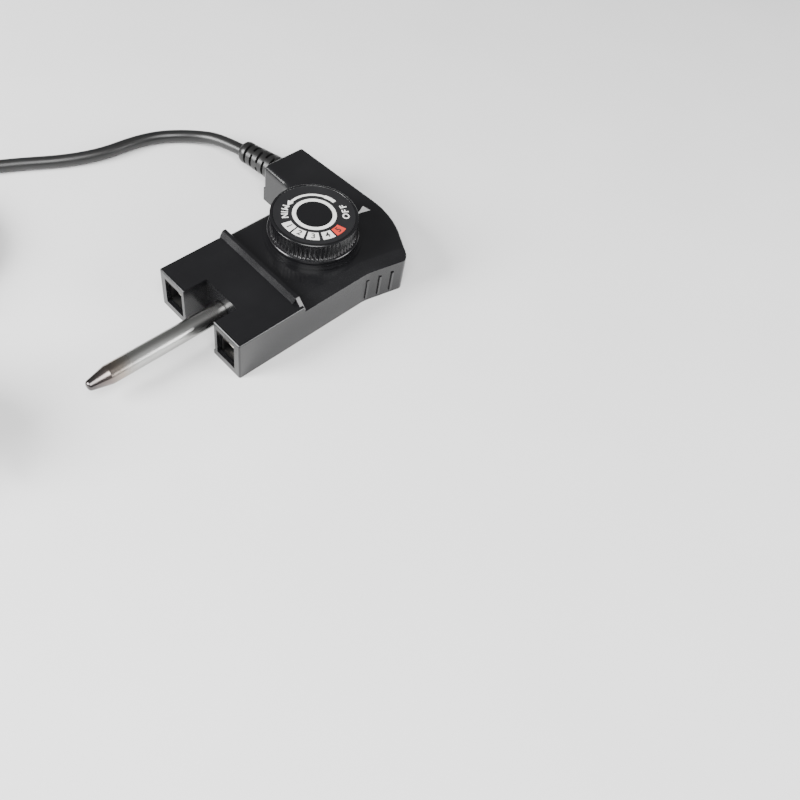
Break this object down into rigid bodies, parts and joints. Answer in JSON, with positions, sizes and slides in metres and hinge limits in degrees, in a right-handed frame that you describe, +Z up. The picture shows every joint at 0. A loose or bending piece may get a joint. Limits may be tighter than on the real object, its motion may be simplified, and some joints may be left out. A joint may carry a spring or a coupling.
{
  "type": "plug-in griddle heat control",
  "caption": "Plug-in heat control for an electric griddle: black housing with numbered dial, steel probe between two sockets, ribbed sleeve, mains cord and plug.",
  "frame": {"origin": "where the dial's axis meets the flat underside", "axes": "+X along the probe towards its tip, +Y to the flared grip side, +Z up; the cord leaves towards -Y"},
  "size_m": [0.249, 0.1982, 0.0376],
  "materials": {
    "housing_plastic": "fine textured black phenolic moulding",
    "dial_plastic": "fluted black moulding",
    "dial_print": "black plate with white and red print",
    "socket_ceramic": "unglazed steatite",
    "spring_steel": "plated spring strip",
    "probe_steel": "bright drawn tube, heat tinted at the tip",
    "sheet_steel": "zinc plated sheet",
    "mica": "mica insulation",
    "brass": "turned brass",
    "screw_steel": "zinc plated",
    "cord_sheath": "black sheath",
    "sleeve_rubber": "black moulded sleeve",
    "wire_blue": "blue insulation",
    "wire_brown": "brown insulation",
    "wire_green": "green and yellow insulation",
    "plug_rubber": "black moulded plug",
    "pin_metal": "nickel plated",
    "tie_plastic": "black tie",
    "socket_moulding": "black phenolic moulding"
  },
  "bodies": {
    "control": {"upper_shell": "housing_plastic", "lower_shell": "housing_plastic", "cover_screws": "screw_steel", "socket_block_left": "socket_moulding", "socket_block_right": "socket_moulding", "contact_left": "spring_steel", "contact_right": "spring_steel", "probe_tube": "probe_steel", "probe_rod": "probe_steel", "probe_collar": "brass", "thermostat_frame": "sheet_steel", "mica_sheet": "mica", "frame_screws": "screw_steel", "screw_bush": "brass", "stack_foot": "socket_ceramic", "stack_spacer": "socket_ceramic", "stack_cap": "socket_ceramic", "moving_blade": "spring_steel", "fixed_blade": "spring_steel", "lower_point": "spring_steel", "upper_point": "spring_steel", "stack_rivet": "brass", "push_pin": "socket_ceramic", "friction_washer": "spring_steel", "strain_relief": "sleeve_rubber", "cord_clamp": "housing_plastic", "clamp_screws": "screw_steel", "neutral_wire": "wire_blue", "line_wire": "wire_brown", "earth_wire": "wire_green", "link_wire": "wire_brown", "supply_cord": "cord_sheath", "cord_coil": "cord_sheath", "coil_tie": "tie_plastic", "plug_lead": "cord_sheath", "plug_body": "plug_rubber", "plug_sleeve": "plug_rubber", "plug_pins": "pin_metal", "plug_earth_strips": "pin_metal"},
    "dial": {"dial_knob": "dial_plastic", "dial_face": "dial_print", "dial_cap": "dial_plastic", "hub_clip": "spring_steel"},
    "screw": {"adjusting_screw": "brass"}
  },
  "joints": [
    {"name": "dial_turn", "type": "hinge", "parent": "control", "child": "dial", "pos_m": [0, 0, 0.0244], "axis": [0, 0, 1], "range_deg": [-282, 0]},
    {"name": "screw_feed", "type": "slide", "parent": "dial", "child": "screw", "axis": [0, 0, 1], "range_m": [-0.00065, 0]}
  ],
  "couplings": [
    {"joint": "screw_feed", "follows": "dial_turn", "m_per_rad": 0.00012732}
  ]
}
